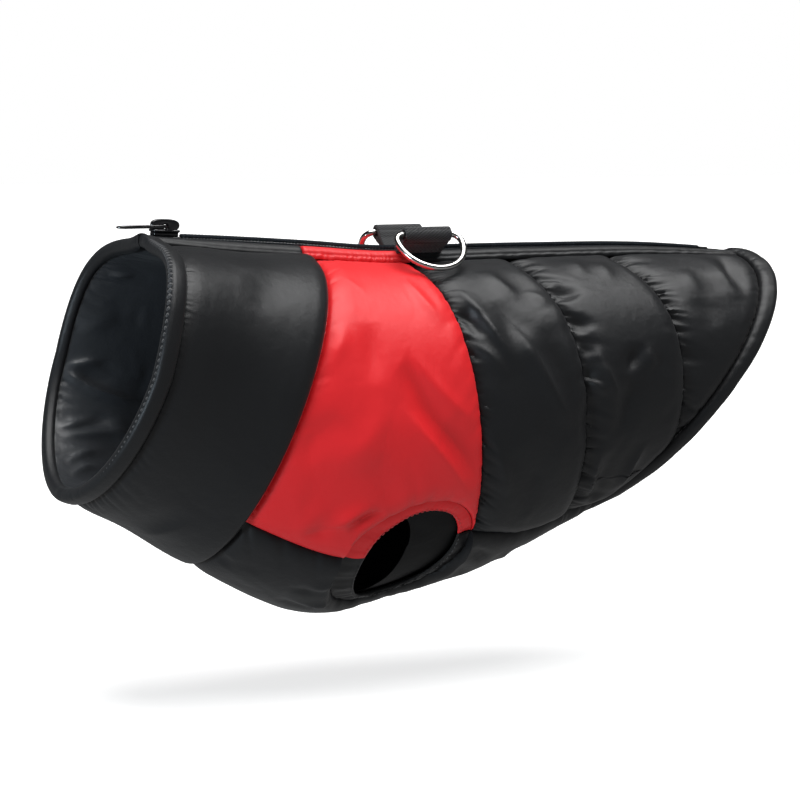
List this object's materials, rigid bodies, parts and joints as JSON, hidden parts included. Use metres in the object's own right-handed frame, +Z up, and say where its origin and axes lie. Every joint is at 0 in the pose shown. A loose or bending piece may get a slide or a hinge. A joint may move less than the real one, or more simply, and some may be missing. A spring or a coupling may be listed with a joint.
{
  "type": "dog winter coat",
  "caption": "Padded dog vest with a stand collar, contrast yokes, quilted flanks, open leg holes, a back zip and leash rings in webbing loops.",
  "frame": {"origin": "3 mm below the inside of the zip tape, under the leash rings, where the wearer's back carries the coat", "axes": "+X towards the tail and -X towards the neck, +Y the wearer's right, +Z up"},
  "size_m": [0.3847, 0.1454, 0.1965],
  "materials": {
    "black_shell": "black nylon taffeta with a satin sheen",
    "red_shell": "red nylon taffeta with a satin sheen",
    "black_lining": "smooth black lining taffeta",
    "webbing": "ribbed black webbing and zip tape",
    "zip": "gloss black coil, slider and pull",
    "ring_metal": "bright plated steel wire"
  },
  "bodies": {
    "coat": {"collar": "black_shell", "collar_lining": "black_lining", "neck_band": "black_shell", "yoke_left": "red_shell", "yoke_right": "red_shell", "flank_left": "black_shell", "flank_right": "black_shell", "under_panel": "black_shell", "hem_binding": "black_shell", "cuff_upper_left": "red_shell", "cuff_upper_right": "red_shell", "cuff_lower_left": "black_shell", "cuff_lower_right": "black_shell", "welt_collar_left": "black_shell", "welt_collar_right": "black_shell", "welt_yoke_left": "red_shell", "welt_yoke_right": "red_shell", "welt_body_left": "black_shell", "welt_body_right": "black_shell", "zip_tape_left": "webbing", "zip_tape_right": "webbing", "zip_coil": "zip", "zip_stop": "zip", "zip_slider": "zip", "ring_loop_left": "webbing", "ring_loop_right": "webbing"},
    "pull": {"zip_pull": "zip"},
    "ring_left": {"leash_ring_left": "ring_metal"},
    "ring_right": {"leash_ring_right": "ring_metal"}
  },
  "joints": [
    {"name": "zip_pull_swing", "type": "hinge", "parent": "coat", "child": "pull", "pos_m": [-0.13015, 0, 0.01864], "axis": [0, 1, 0], "range_deg": [0, 170]},
    {"name": "leash_ring_left_swing", "type": "hinge", "parent": "coat", "child": "ring_left", "pos_m": [0.001, -0.0165, 0.013], "axis": [-1, 0, 0], "range_deg": [0, 160]},
    {"name": "leash_ring_right_swing", "type": "hinge", "parent": "coat", "child": "ring_right", "pos_m": [0.001, 0.0165, 0.013], "axis": [1, 0, 0], "range_deg": [0, 160]}
  ]
}
